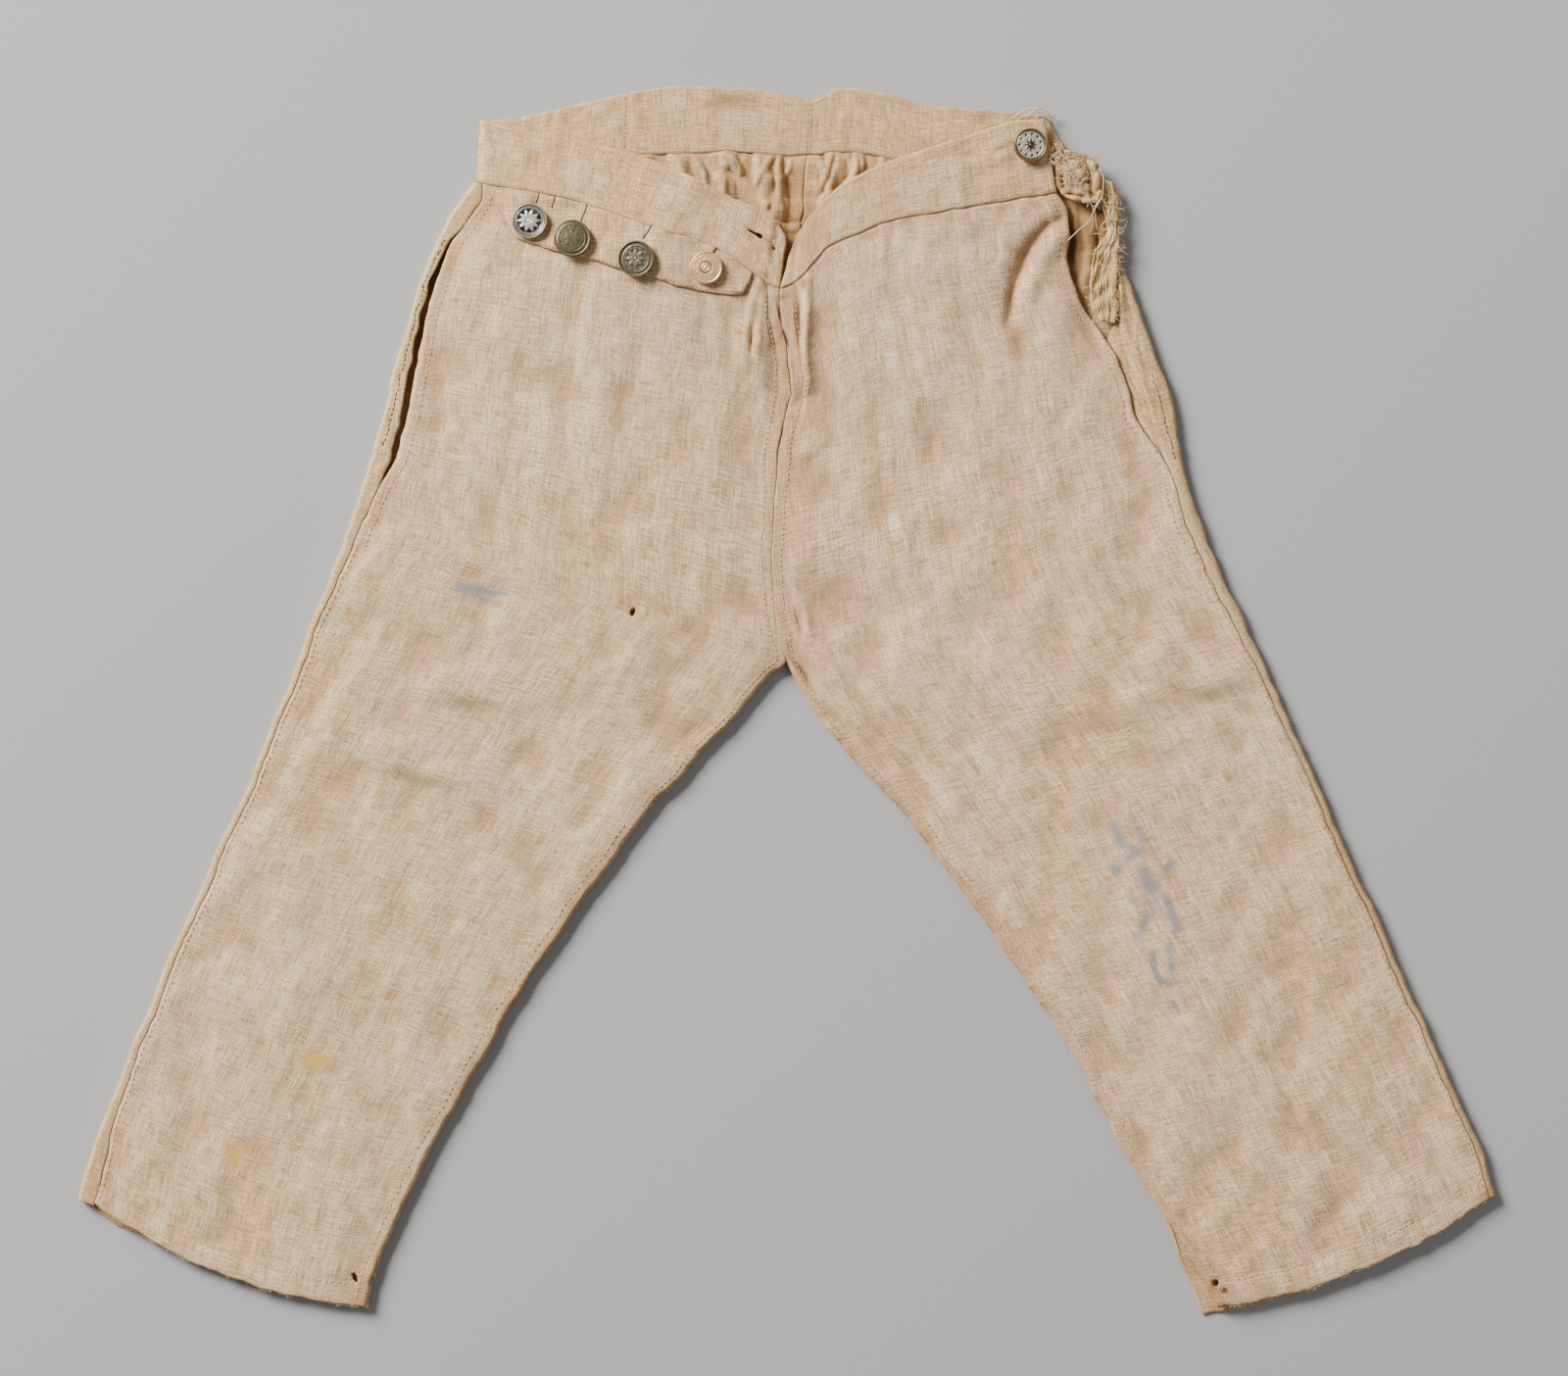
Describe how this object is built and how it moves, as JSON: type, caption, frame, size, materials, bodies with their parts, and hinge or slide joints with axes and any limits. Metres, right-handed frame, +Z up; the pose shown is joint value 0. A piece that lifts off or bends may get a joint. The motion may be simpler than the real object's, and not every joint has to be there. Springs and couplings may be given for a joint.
{
  "type": "knee breeches",
  "caption": "Child's knee breeches of coarse linen laid flat, with gathered back, doubled waistband, side slits, button strip with metal buttons and a torn hip.",
  "frame": {"origin": "middle of the bounding box's bottom face, on the surface the garment lies on", "axes": "+X to the right across the legs, +Y from the hems to the waist, +Z up out of the front"},
  "size_m": [0.639, 0.5524, 0.0155],
  "materials": {
    "linen_front_left": "coarse plain-weave linen, matt, washed and worn",
    "linen_front_right": "coarse plain-weave linen, matt, washed and worn",
    "linen_back": "coarse plain-weave linen, matt, gathered",
    "linen_band": "doubled linen, stitched at the edges",
    "linen_yellow": "yellowed, frayed linen",
    "metal_silver": "worn white metal with a stamped star",
    "metal_dark": "dark tarnished metal",
    "metal_pale": "pale worn gilt metal",
    "metal_brass": "brass rim round a silvered disc"
  },
  "bodies": {
    "root": {"back_left_leg": "linen_back", "back_right_leg": "linen_back", "front_left_leg": "linen_front_left", "front_right_leg": "linen_front_right", "waistband_front_left": "linen_band", "waistband_front_right": "linen_band", "waistband_back_left": "linen_back", "waistband_back_right": "linen_back", "button_strip": "linen_band", "torn_facing": "linen_yellow", "torn_band_end": "linen_band", "button_star": "metal_silver", "button_dark": "metal_dark", "button_rimmed": "metal_dark", "button_pale": "metal_pale", "button_band": "metal_brass"}
  },
  "joints": []
}
